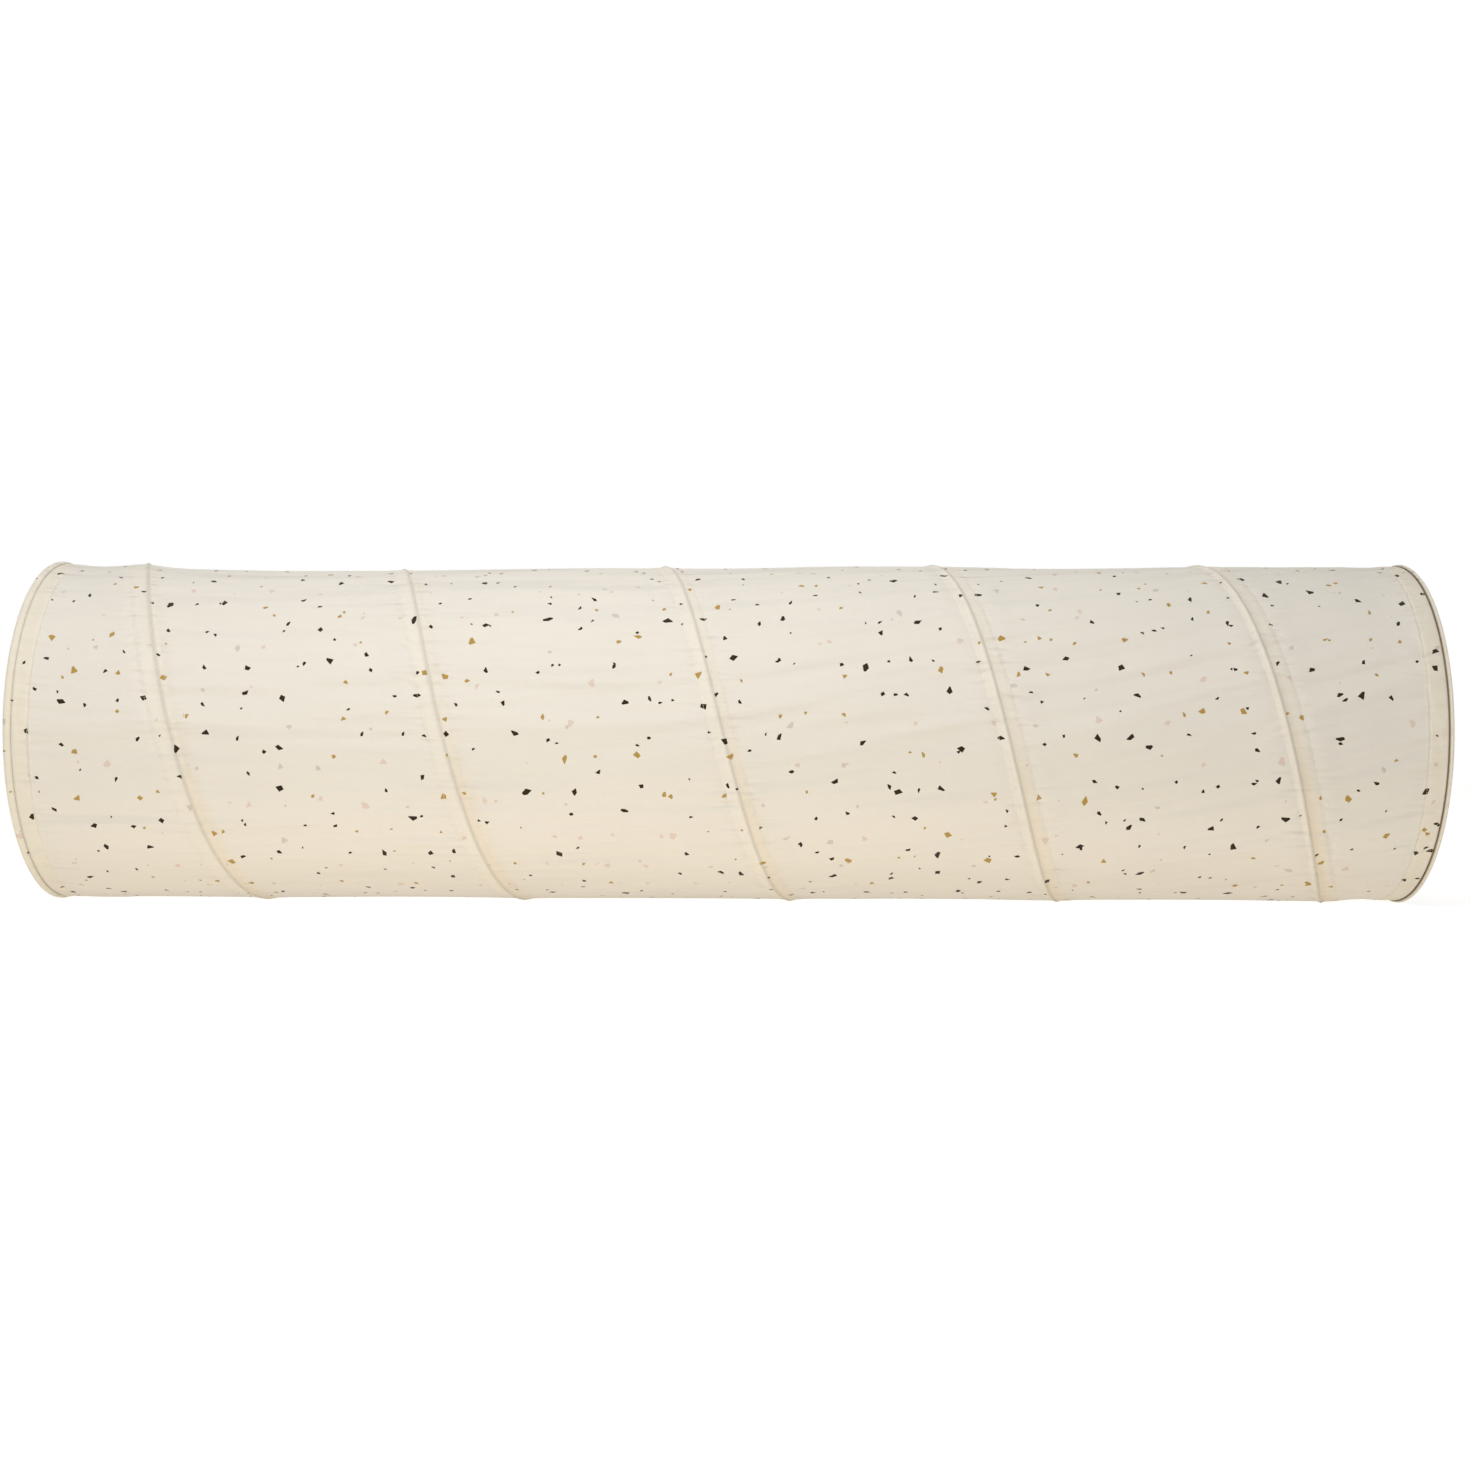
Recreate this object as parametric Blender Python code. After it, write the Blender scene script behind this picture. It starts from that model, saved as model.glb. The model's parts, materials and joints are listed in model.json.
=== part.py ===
# A pop-up play tunnel: a cloth tube held open by a spiral spring wire, with a sprung hoop in each rim.
# It lies along X on the floor, with its middle over the origin. Lengths are in metres.

import math

import bmesh
import bpy
import numpy as np
from mathutils import Vector

# The whole tunnel, sprung open
tunnel_length = 1.8
rim_radius = 0.2275           # over the rolled cloth at each end
rim_step = 0.0025             # how far the rim stands out past the cloth on the wire
facets_per_turn = 24          # every ring has a facet flat on the floor
clearance = 0.0003            # between pieces that touch

# The spiral wire and how evenly it runs
wire_diameter = 0.0026
coil_pitch = 0.3535
first_crown_inset = 0.108     # from the left edge to the first pass over the top
wire_end_inset = 0.058        # from each edge to the wire's end
left_lean = 0.008             # how far the near side of a turn runs ahead, at the left end
right_lean = -0.021
turn_drift_shares = (0.015, -0.015, -0.011, 0.005, 0.006)  # of the pitch, one for each pass
wire_tip_length = 0.008
wire_tip_body_share = 0.6     # of its length, before its nose narrows
wire_tip_nose_share = 0.6     # the nose's radius, of the wire's

# The cloth tube
shell_wall = 0.0008
ridge_half_width = 0.0045
ridge_fade_angle = math.radians(20)
span_sag = 0.0008

# The casing that carries the wire, inside the shell
casing_width = 0.034
casing_wall = 0.0006
casing_seam_inset = 0.0015
casing_drift = 0.009          # how far the casing's middle lies outside the wire, at both ends

# The hem at each end
hem_width = 0.031
facing_wall = 0.0006
hem_seam_inset = 0.0015

# The rolled rim and the hoop in it
hoop_diameter = 0.003
hoop_end_gap = 0.001
sleeve_length = 0.03
sleeve_wall = 0.0004
sleeve_sides = 8
binding_wall = 0.0007
binding_sides = 8
neck_length = 0.004           # the binding's two edges, sewn flat over the cloth

thread_diameter = 0.0007

# How the shapes are worked out
spare_turns = 3               # of the spiral past each end, where a place on it is looked for
halvings = 60
sharp_angle = math.radians(40)

half_length = tunnel_length / 2
facet_angle = 2 * math.pi / facets_per_turn
facet_share = math.cos(facet_angle / 2)  # the middle of a facet, as a share of its corners' radius
weld_distance = clearance / 100
thread_radius = thread_diameter / 2
wire_radius = wire_diameter / 2


def ridge_rise():
    # How high the ridge's inside must peak over the wire's middle, so that its flanks clear the wire
    near = wire_radius + clearance
    spread = ridge_half_width ** 2 - near ** 2
    foot = ridge_half_width ** 2 + wire_radius ** 2
    return near * (near * wire_radius + math.sqrt((near * wire_radius) ** 2 + spread * foot)) / spread


# Radii of the wound part, from the outside in
coil_outer_radius = rim_radius - rim_step
wire_ring_radius = coil_outer_radius - shell_wall - ridge_rise()
casing_radius = wire_ring_radius - wire_radius - clearance
span_radius = casing_radius + clearance + shell_wall
coil_height = coil_outer_radius * facet_share

# The rolled rim, from the hoop's wire outwards
hoop_wire_radius = hoop_diameter / 2
sleeve_bore_radius = (hoop_wire_radius + clearance) / math.cos(math.pi / sleeve_sides)
sleeve_outer_radius = sleeve_bore_radius + sleeve_wall
binding_bore = sleeve_outer_radius + clearance
binding_reach = binding_bore + binding_wall
hoop_radius = rim_radius - binding_reach
rim_height = rim_radius * facet_share

# The neck, where the binding holds the edges of the shell and the facing
layers = shell_wall + clearance + facing_wall
neck_shell_radius = hoop_radius + layers / 2
cloth_edge_inset = binding_reach + sleeve_outer_radius + clearance
neck_inset = 2 * binding_reach + neck_length
cone_inset = neck_inset + clearance

# How far the shell falls over the hem, and how much further from it that puts a thread's middle
hem_fall = neck_shell_radius - span_radius + rim_height - coil_height
thread_lift = (clearance + thread_radius) * math.hypot(1, hem_fall / (hem_width - cone_inset))


def wire_course(turn):
    # Place along X of the wire's middle line, by turns counted from its first pass over the top
    passes = len(turn_drift_shares)
    middles = [number + 0.25 for number in range(passes)]
    drift = coil_pitch * np.interp(turn, middles, turn_drift_shares)
    lean = left_lean + (right_lean - left_lean) * turn / passes
    return first_crown_inset - half_length + coil_pitch * turn + drift + lean * math.sin(2 * math.pi * turn)


def turn_at(place):
    # The turn at which the wire crosses a place along X
    low = -spare_turns
    high = tunnel_length / coil_pitch + spare_turns
    for _ in range(halvings):
        middle = (low + high) / 2
        if wire_course(middle) < place:
            low = middle
        else:
            high = middle
    return middle


wire_start = turn_at(wire_end_inset - half_length)
wire_finish = turn_at(half_length - wire_end_inset)


def ring_point(place, angle, radius, height):
    # Angles run from the top towards the near side
    return Vector((place, -radius * math.sin(angle), height + radius * math.cos(angle)))


def corner_turn(corner):
    return (corner + 0.5) / facets_per_turn


def on_facet(turn, point_at):
    # A point between two corners of the winding lies on the straight facet that joins them
    corner = math.floor(turn * facets_per_turn - 0.5)
    share = turn * facets_per_turn - 0.5 - corner
    return point_at(corner_turn(corner)).lerp(point_at(corner_turn(corner + 1)), share)


def winding_turns(start, finish):
    # The start, every corner of the winding between, and the finish
    first = math.ceil(start * facets_per_turn - 0.5)
    last = math.floor(finish * facets_per_turn - 0.5)
    return [start] + [corner_turn(corner) for corner in range(first, last + 1)] + [finish]


def shell_ring(inset):
    # Outer radius of the shell and the height of its middle, by distance from the tunnel's edge
    share = min(max((inset - cone_inset) / (hem_width - cone_inset), 0), 1)
    radius = neck_shell_radius + share * (span_radius - neck_shell_radius)
    height = rim_height + share * (coil_height - rim_height)
    return radius, height


def wound_point(turn, radius, place):
    return ring_point(place, 2 * math.pi * turn, radius, coil_height)


def wire_point(turn):
    return on_facet(turn, lambda corner: wound_point(corner, wire_ring_radius, wire_course(corner)))


def ridge_share(turn):
    # 1 where the shell lies on the wire or its tips, fading to 0 past them
    tip_angle = wire_tip_length / wire_ring_radius + facet_angle
    past = max(wire_start - turn, turn - wire_finish) * 2 * math.pi - tip_angle
    return min(max(1 - past / ridge_fade_angle, 0), 1)


def casing_place(turn, side_offset):
    # Place along X of a line that runs with the casing, kept off the hems
    share = (turn - wire_start) / (wire_finish - wire_start)
    place = wire_course(turn) + casing_drift * (2 * share - 1) + side_offset
    limit = half_length - hem_width - clearance - thread_radius
    return min(max(place, -limit), limit)


def fabric(name, colour, roughness):
    material = bpy.data.materials.new(name)
    material.use_nodes = True
    shader = material.node_tree.nodes["Principled BSDF"]
    shader.inputs["Base Color"].default_value = (*colour, 1)
    shader.inputs["Roughness"].default_value = roughness
    return material


def metal(name, colour, roughness):
    material = fabric(name, colour, roughness)
    material.node_tree.nodes["Principled BSDF"].inputs["Metallic"].default_value = 1
    return material


def add_object(name, data, material, parent=None):
    thing = bpy.data.objects.new(name, data)
    bpy.context.collection.objects.link(thing)
    if material.name not in data.materials:
        data.materials.append(material)
    thing.parent = parent
    return thing


def mesh_from(bm, name):
    bmesh.ops.recalc_face_normals(bm, faces=bm.faces)
    mesh = bpy.data.meshes.new(name)
    bm.to_mesh(mesh)
    bm.free()
    mesh.shade_smooth()
    mesh.set_sharp_from_angle(angle=sharp_angle)
    return mesh


def placed_grid(columns, rows, place):
    # A sheet whose corner (column, row) lies where place says, welded where its edges meet
    bm = bmesh.new()
    bmesh.ops.create_grid(bm, x_segments=columns, y_segments=rows, size=1)
    for vert in bm.verts:
        column = round((vert.co.x + 1) / 2 * columns)
        row = round((vert.co.y + 1) / 2 * rows)
        vert.co = place(column, row)
    bmesh.ops.remove_doubles(bm, verts=bm.verts, dist=weld_distance)
    return bm


def thicken(bm, wall, height_at):
    # A second layer, one wall nearer the tunnel's middle line, joined to the first along every open edge
    outer = bm.verts[:]
    open_edges = [edge for edge in bm.edges if edge.is_boundary]
    twins = bmesh.ops.duplicate(bm, geom=bm.verts[:] + bm.edges[:] + bm.faces[:])["vert_map"]
    for vert in outer:
        middle = Vector((vert.co.x, 0, height_at(vert.co.x)))
        spoke = vert.co - middle
        twins[vert].co = middle + spoke * (1 - wall / spoke.length)
    for edge in open_edges:
        a, b = edge.verts
        bm.faces.new((a, b, twins[b], twins[a]))


def spun(name, outline, centre, axis, steps):
    # A closed outline turned right round an axis
    bm = bmesh.new()
    verts = [bm.verts.new(point) for point in outline]
    edges = [bm.edges.new((a, b)) for a, b in zip(verts, verts[1:] + verts[:1])]
    bmesh.ops.spin(bm, geom=verts + edges, cent=centre, axis=axis, angle=2 * math.pi, steps=steps,
                   use_merge=True)
    return mesh_from(bm, name)


def tube(name, points, radius, resolution, closed=False, shares=None):
    # A round bar along a list of points
    curve = bpy.data.curves.new(name, "CURVE")
    curve.dimensions = "3D"
    curve.bevel_depth = radius
    curve.bevel_resolution = resolution
    curve.use_fill_caps = True
    spline = curve.splines.new("POLY")
    spline.points.add(len(points) - 1)
    for number, point in enumerate(points):
        spline.points[number].co = (*point, 1)
        spline.points[number].radius = shares[number] if shares else 1
    spline.use_cyclic_u = closed
    return curve


def facet_radius(radius, angle):
    # Distance from the middle to a ring's facets at any angle, for a ring with this radius at its corners
    off_middle = angle - facet_angle * round(angle / facet_angle)
    return radius * facet_share / math.cos(off_middle)


def shell_height(place):
    return shell_ring(half_length - abs(place))[1]


def make_shell(material):
    # The wound cloth: each column runs from one pass of the wire to the next at one angle
    limit = half_length - hem_width
    first = math.floor((turn_at(-limit) - 1) * facets_per_turn) - 1
    last = math.ceil(turn_at(limit) * facets_per_turn) + 1
    rise = coil_outer_radius - span_radius

    def place(column, row):
        turn = corner_turn(first + column)
        here = wire_course(turn)
        there = wire_course(turn + 1)
        crown_here = span_radius + rise * ridge_share(turn)
        crown_there = span_radius + rise * ridge_share(turn + 1)
        stations = (
            (here, crown_here),
            (here + ridge_half_width, span_radius),
            ((here + there) / 2, span_radius - span_sag),
            (there - ridge_half_width, span_radius),
            (there, crown_there),
        )
        along, radius = stations[row]
        return wound_point(turn, radius, along)

    bm = placed_grid(last - first, 4, place)
    for side in (-1, 1):
        # Cut square at the hem's seam, then carried on as a cone into the rolled rim
        bmesh.ops.bisect_plane(bm, geom=bm.verts[:] + bm.edges[:] + bm.faces[:], dist=weld_distance,
                               plane_co=(side * limit, 0, 0), plane_no=(side, 0, 0), clear_outer=True)
        edges = [edge for edge in bm.edges if edge.is_boundary
                 and all(abs(vert.co.x - side * limit) < clearance for vert in edge.verts)]
        verts = {vert for edge in edges for vert in edge.verts}
        for inset in (hem_width, cone_inset, cloth_edge_inset):
            if inset != hem_width:
                grown = bmesh.ops.extrude_edge_only(bm, edges=edges)["geom"]
                verts = {thing for thing in grown if isinstance(thing, bmesh.types.BMVert)}
                edges = [thing for thing in grown if isinstance(thing, bmesh.types.BMEdge)]
            radius, height = shell_ring(inset)
            for vert in verts:
                angle = math.atan2(-vert.co.y, vert.co.z - shell_height(vert.co.x))
                vert.co = ring_point(side * (half_length - inset), angle, facet_radius(radius, angle), height)
    thicken(bm, shell_wall, shell_height)
    return add_object("shell", mesh_from(bm, "shell"), material)


def make_wire(material):
    turns = winding_turns(wire_start, wire_finish)
    wire = tube("spiral_wire", [wire_point(turn) for turn in turns], wire_radius, 1)
    add_object("spiral_wire", wire, material)
    points = [wire_point(wire_start + corner / facets_per_turn)
              for corner in range(math.floor((wire_finish - wire_start) * facets_per_turn) + 1)]
    least = min((points[a] - points[b]).length for a in range(len(points))
                for b in range(a + facets_per_turn // 2, len(points)))
    print(f"spiral_wire: least gap to itself {(least - wire_diameter) * 1000:.1f} mm")


def make_wire_tip(name, turn, onward, material, parent):
    # A blunt tip that goes on straight from the wire's end
    end = wire_point(turn)
    heading = (wire_point(turn + onward / facets_per_turn / 4) - end).normalized()
    start = end + heading * clearance
    shares = (1, 1, wire_tip_nose_share)
    points = [start + heading * wire_tip_length * share for share in (0, wire_tip_body_share, 1)]
    tip = add_object(name, tube(name, points, wire_radius, 1, shares=shares), material, parent)
    tip.matrix_parent_inverse = parent.matrix_world.inverted()


def make_casing(material, thread):
    turns = winding_turns(wire_start, wire_finish)

    def place(column, row):
        turn = turns[column]
        offset = (row - 0.5) * casing_width
        return on_facet(turn, lambda corner: wound_point(corner, casing_radius, casing_place(corner, offset)))

    bm = placed_grid(len(turns) - 1, 1, place)
    thicken(bm, casing_wall, lambda _: coil_height)
    add_object("spiral_casing", mesh_from(bm, "spiral_casing"), material)

    # The two rows of stitching lie on the shell, over the casing's edges
    seam_offset = casing_width / 2 - casing_seam_inset
    seam_radius = span_radius + clearance + thread_radius
    for side, offset in (("left", -seam_offset), ("right", seam_offset)):
        name = f"casing_stitching_{side}"

        def seam_point(turn):
            return wound_point(turn, seam_radius, casing_place(turn, offset))

        points = [on_facet(turn, seam_point) for turn in turns]
        add_object(name, tube(name, points, thread_radius, 0), thread)


def ring_corners(inset, radius, height):
    # The corners of a ring in an end's own frame, where X runs inwards from the edge
    return [ring_point(inset, 2 * math.pi * corner_turn(corner), radius, height)
            for corner in range(facets_per_turn)]


def binding_mesh():
    # A roll with flats round the hoop, open towards the cloth, and its two edges along the neck
    side_angle = 2 * math.pi / binding_sides
    corner_share = 1 / math.cos(side_angle / 2)
    angles = [side_angle * (number + 1.5) for number in range(binding_sides - 2)]
    gap = layers / 2 + clearance
    outline = [(neck_inset, gap + binding_wall)]
    outline += [(binding_reach + binding_reach * corner_share * math.cos(angle),
                 binding_reach * corner_share * math.sin(angle)) for angle in angles]
    outline += [(neck_inset, -gap - binding_wall), (neck_inset, -gap)]
    outline += [(binding_reach + binding_bore * corner_share * math.cos(angle),
                 binding_bore * corner_share * math.sin(angle)) for angle in reversed(angles)]
    outline += [(neck_inset, gap)]
    points = [ring_point(inset, facet_angle / 2, hoop_radius + out, rim_height) for inset, out in outline]
    return spun("rim_binding", points, (0, 0, rim_height), (1, 0, 0), facets_per_turn)


def hoop_curve():
    # The ring's two ends meet with a small gap in the middle of the facet on the floor
    low = rim_height - hoop_radius * facet_share
    points = [Vector((binding_reach, hoop_end_gap / 2, low))]
    points += [ring_point(binding_reach, math.pi + facet_angle * (corner + 0.5), hoop_radius, rim_height)
               for corner in range(facets_per_turn)]
    points += [Vector((binding_reach, -hoop_end_gap / 2, low))]
    return tube("hoop", points, hoop_wire_radius, 1)


def sleeve_mesh():
    low = rim_height - hoop_radius * facet_share
    half = sleeve_length / 2
    section = [(-half, sleeve_bore_radius), (half, sleeve_bore_radius),
               (half, sleeve_outer_radius), (-half, sleeve_outer_radius)]
    points = [(binding_reach, along, low + out) for along, out in section]
    return spun("hoop_sleeve", points, (binding_reach, 0, low), (0, 1, 0), sleeve_sides)


def facing_mesh():
    # The hem's inner layer, just inside the shell from the rolled rim to the hem's seam
    insets = (cloth_edge_inset, cone_inset, hem_width - clearance)

    def place(column, row):
        radius, height = shell_ring(insets[row])
        angle = facet_angle * (column + 0.5)
        return ring_point(insets[row], angle, radius - shell_wall - clearance, height)

    bm = placed_grid(facets_per_turn, len(insets) - 1, place)
    thicken(bm, facing_wall, lambda inset: shell_ring(inset)[1])
    return mesh_from(bm, "hem_facing")


def stitching_curve(name, inset):
    # A row of thread round the tunnel, on the shell
    radius, height = shell_ring(inset)
    return tube(name, ring_corners(inset, radius + thread_lift, height), thread_radius, 0, closed=True)


def main():
    for thing in list(bpy.data.objects):
        bpy.data.objects.remove(thing, do_unlink=True)

    cloth = fabric("printed_cloth", (0.84, 0.78, 0.68), 0.85)
    tape = fabric("casing_tape", (0.86, 0.81, 0.72), 0.85)
    hem = fabric("hem_cloth", (0.86, 0.81, 0.72), 0.85)
    thread = fabric("thread", (0.88, 0.84, 0.76), 0.7)
    steel = metal("spring_steel", (0.5, 0.5, 0.52), 0.35)
    crimp = metal("crimped_steel", (0.6, 0.6, 0.62), 0.3)
    plastic = fabric("tip_plastic", (0.08, 0.08, 0.08), 0.6)

    # Each end has its own frame: X runs inwards from the tunnel's edge
    ends = {}
    for side, turned in (("left", 0), ("right", math.pi)):
        end = bpy.data.objects.new(f"{side}_end", None)
        bpy.context.collection.objects.link(end)
        end.location.x = -half_length * math.cos(turned)
        end.rotation_euler.z = turned
        ends[side] = end
    bpy.context.view_layer.update()

    make_shell(cloth)
    make_wire(steel)
    make_casing(tape, thread)
    make_wire_tip("left_wire_tip", wire_start, -1, plastic, ends["left"])
    make_wire_tip("right_wire_tip", wire_finish, 1, plastic, ends["right"])

    rim_seam_inset = neck_inset + clearance + thread_radius
    end_pieces = (
        ("rim_binding", binding_mesh(), hem),
        ("hoop", hoop_curve(), steel),
        ("hoop_sleeve", sleeve_mesh(), crimp),
        ("hem_facing", facing_mesh(), hem),
        ("rim_stitching", stitching_curve("rim_stitching", rim_seam_inset), thread),
        ("hem_stitching", stitching_curve("hem_stitching", hem_width - hem_seam_inset), thread),
    )
    for side, end in ends.items():
        for name, data, material in end_pieces:
            add_object(f"{side}_{name}", data, material, end)


main()
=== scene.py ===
# A pop-up play tunnel: printed cotton over a spiral spring wire, with a sprung hoop rolled into each end.
# Metres. The tunnel lies along X on the floor at z = 0, and its near side faces -Y.

import json
import math
import random

import bmesh
import bpy
from mathutils import Matrix, Vector, noise


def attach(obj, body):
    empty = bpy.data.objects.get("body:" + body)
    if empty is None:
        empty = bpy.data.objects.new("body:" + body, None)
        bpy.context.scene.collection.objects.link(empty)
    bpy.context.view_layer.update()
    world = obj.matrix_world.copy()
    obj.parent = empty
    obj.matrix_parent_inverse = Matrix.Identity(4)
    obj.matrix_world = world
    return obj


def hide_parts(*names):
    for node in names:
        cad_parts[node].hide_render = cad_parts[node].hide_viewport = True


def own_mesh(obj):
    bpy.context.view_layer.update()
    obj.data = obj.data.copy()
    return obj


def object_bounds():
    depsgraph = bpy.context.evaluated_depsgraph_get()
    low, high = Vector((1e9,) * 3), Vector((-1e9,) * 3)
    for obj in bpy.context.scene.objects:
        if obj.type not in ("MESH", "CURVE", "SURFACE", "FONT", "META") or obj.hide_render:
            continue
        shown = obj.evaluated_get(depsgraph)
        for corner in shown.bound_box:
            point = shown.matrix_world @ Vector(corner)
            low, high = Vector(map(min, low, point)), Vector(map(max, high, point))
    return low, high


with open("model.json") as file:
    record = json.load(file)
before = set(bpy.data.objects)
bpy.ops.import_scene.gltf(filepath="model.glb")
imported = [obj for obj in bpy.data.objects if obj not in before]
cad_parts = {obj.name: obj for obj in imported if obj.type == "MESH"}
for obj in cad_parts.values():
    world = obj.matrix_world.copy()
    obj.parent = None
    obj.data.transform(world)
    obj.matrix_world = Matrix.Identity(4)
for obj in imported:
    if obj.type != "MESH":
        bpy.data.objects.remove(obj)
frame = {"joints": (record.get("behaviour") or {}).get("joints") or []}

cadLow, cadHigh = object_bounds()
collapse = next(joint for joint in frame["joints"] if joint["name"] == "collapse")
fullTurn = 2 * math.pi
signs = {"left": -1, "right": 1}   # the way along X to each end
weld = 0.00001                     # corners nearer than this are joined
sharpEdge = math.radians(50)       # edges that turn further than this stay sharp

# The wound wire, as the frame has it. Turns are counted from the first pass over the top
winding = {
    "pitch": 0.3535,
    "firstCrownInset": 0.108,
    "wireEndInset": 0.058,
    "leftLean": 0.008,
    "rightLean": -0.021,
    "driftShares": (0.015, -0.015, -0.011, 0.005, 0.006),
    "driftStart": 0.25,            # of a turn, at which the first drift holds
    "endHold": 0.008,              # of a turn past the wire's end, where its ridge starts to fade
    "endFade": 0.05,
    "leastShare": 0.01,            # keeps the distance to its seams finite where no wire runs
    "turnRange": (-3, 9),          # the turns among which a place is sought
    "halvings": 50,
    "casingDrift": 0.009,
    "casingWidth": 0.034,
    "seamOffset": 0.0155,          # from the casing's middle to each row of stitches
}

# The cloth over it
cloth = {
    "wall": 0.0008,
    "hemSeam": -collapse["deforming_nodes"][0]["fixed_end_x_m"],
    "hemStitchInset": 0.0295,
    "printRadius": 0.2226,         # the radius at which the print is laid out flat
    "seamShare": 94 / 144,         # of a turn, from the top towards the near side, to the lengthwise seam
    "rimHeight": 0.2268,
    "middleLift": 0.0006,
    "rimRise": (0.06, 0.011),      # insets between which the middle line rises to the rim's
    "ridge": 0.0016,               # height of the cloth over the wire
    "ridgeWidth": 0.0026,
    "ridgePower": 2.6,
    "ridgeClear": 0.01,            # no folds this near to the wire
    "tent": 0.0009,                # the wider rise on both sides of it
    "tentWidth": 0.011,
    "sag": 0.0008,
    "channelRise": 0.0003,
    "channelEdge": (0.0165, 0.0145),
    "hemRise": 0.0004,
    "hemEdge": (0.0315, 0.0285),
    "hemCalm": 0.6,                # share of the folds that the hem takes out
    "hemLip": 0.0004,
    "hemLipInset": 0.0322,
    "hemLipWidth": 0.0012,
    "grooveDepth": 0.0007,
    "grooveWidth": 0.0013,
    "puckerHeight": 0.00035,
    "puckers": 50,                 # a turn
    "puckerDrift": 2,              # radians by which they stray
    "puckerPace": (2, 4),          # of the stray, round and along
    "puckerReach": 0.012,
}
circumference = fullTurn * cloth["printRadius"]

# Outer radius of the cloth between the passes, along the tunnel
spans = (
    (-0.893, 0.2247), (-0.869, 0.2240), (-0.82, 0.2232), (-0.709, 0.2224), (-0.574, 0.2214), (-0.43, 0.2214),
    (-0.2, 0.2236), (0.0, 0.2236), (0.17, 0.2252), (0.40, 0.2242), (0.6, 0.2250), (0.78, 0.2256),
    (0.869, 0.2248), (0.893, 0.2248),
)

# Places where the cloth stands out or is drawn in: x, degrees from the top, reach along and round, height
swells = (
    (-0.790, 0, 0.035, 42, 0.0042),
    (0.845, 180, 0.022, 36, -0.0028),
    (0.80, 350, 0.06, 45, 0.0006),
)

# Slack in the cloth. Its waves lie level at the left end and rise to the right further on
slack = {
    "slant": 0.04,
    "slantGrowth": 0.26,
    "slantZone": (-0.3, 0.5),
    # Each of the waves: height, pace along and round, start, share that slants, and growth to the right
    "waves": (
        (0.0007, 2.6, 5.4, 0, 1, 0),
        (0.00045, 5, 11, 7, 1, 0.8),
        (0.0006, 4, 1.6, 3, 0, 0),
    ),
    "growthZone": (0.45, 0.8),
    "foldStrength": 2.4,
    "foldOverrun": 0.04,           # length past a fold's ends
    "foldFade": (-0.15, 0.2),      # shares of its length over which it starts
    "foldReach": 3,                # half-widths
}

# Soft folds: from (x, degrees from the top) to (x, degrees), half-width and height
folds = (
    ((-0.873, 67), (-0.700, 67), 0.012, 0.0008),
    ((-0.866, 88), (-0.698, 89), 0.012, 0.0008),
    ((-0.654, 91), (-0.380, 96), 0.012, 0.0008),
    ((-0.706, 63), (-0.628, 55), 0.009, 0.0006),
    ((-0.530, 80), (-0.443, 80), 0.008, 0.0006),
    ((-0.444, 76), (-0.388, 71), 0.008, 0.0006),
    ((-0.318, 87), (-0.032, 90), 0.012, 0.0008),
    ((-0.251, 111), (-0.038, 96), 0.012, 0.0007),
    ((0.068, 102), (0.316, 85), 0.011, 0.0009),
    ((0.086, 92), (0.316, 78), 0.010, -0.0007),
    ((0.188, 120), (0.355, 109), 0.011, 0.0008),
    ((0.390, 92), (0.678, 73), 0.010, 0.0010),
    ((0.379, 104), (0.626, 86), 0.010, -0.0007),
    ((0.440, 83), (0.617, 68), 0.009, -0.0007),
    ((0.571, 99), (0.688, 86), 0.010, -0.0006),
    ((0.713, 93), (0.868, 81), 0.0070, 0.0010),
    ((0.712, 88), (0.869, 76), 0.0070, -0.0008),
    ((0.719, 83), (0.871, 71), 0.0070, 0.0010),
    ((0.728, 78), (0.873, 66), 0.0070, 0.0007),
    ((-0.868, 41), (-0.805, 29), 0.007, 0.0008),
    ((-0.881, 124), (-0.717, 127), 0.012, 0.0006),
    ((-0.621, 113), (-0.409, 117), 0.011, 0.0006),
    ((-0.300, 30), (-0.090, 38), 0.011, 0.0006),
    ((0.120, 45), (0.240, 36), 0.010, 0.0006),
    ((-0.560, 245), (-0.300, 252), 0.012, 0.0008),
    ((-0.150, 282), (0.120, 291), 0.012, 0.0008),
    ((0.280, 262), (0.520, 250), 0.012, 0.0009),
    ((0.640, 300), (0.800, 289), 0.010, 0.0009),
    ((-0.840, 270), (-0.680, 266), 0.010, 0.0008),
)


def smoothStep(value, low, high):
    share = min(max((value - low) / (high - low), 0), 1)
    return share * share * (3 - 2 * share)


def bell(off, width):
    return math.exp(-(off / width) ** 2)


def roundNoise(along, pace, angle):
    return noise.noise(Vector((along, pace * math.sin(angle), pace * math.cos(angle))))


def degreesPast(angle, degrees):
    return (math.degrees(angle) - degrees + 180) % 360 - 180


def through(stations, value):      # a smooth curve through the stations
    if value <= stations[0][0]:
        return stations[0][1]
    if value >= stations[-1][0]:
        return stations[-1][1]
    number = next(index for index in range(1, len(stations)) if value < stations[index][0])
    (x1, y1), (x2, y2) = stations[number - 1], stations[number]
    x0, y0 = stations[max(number - 2, 0)]
    x3, y3 = stations[min(number + 1, len(stations) - 1)]
    slope1 = (y2 - y0) / (x2 - x0)
    slope2 = (y3 - y1) / (x3 - x1)
    width = x2 - x1
    share = (value - x1) / width
    return (y1 * (1 + 2 * share) * (1 - share) ** 2 + slope1 * width * share * (1 - share) ** 2
            + y2 * share ** 2 * (3 - 2 * share) + slope2 * width * share ** 2 * (share - 1))


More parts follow.
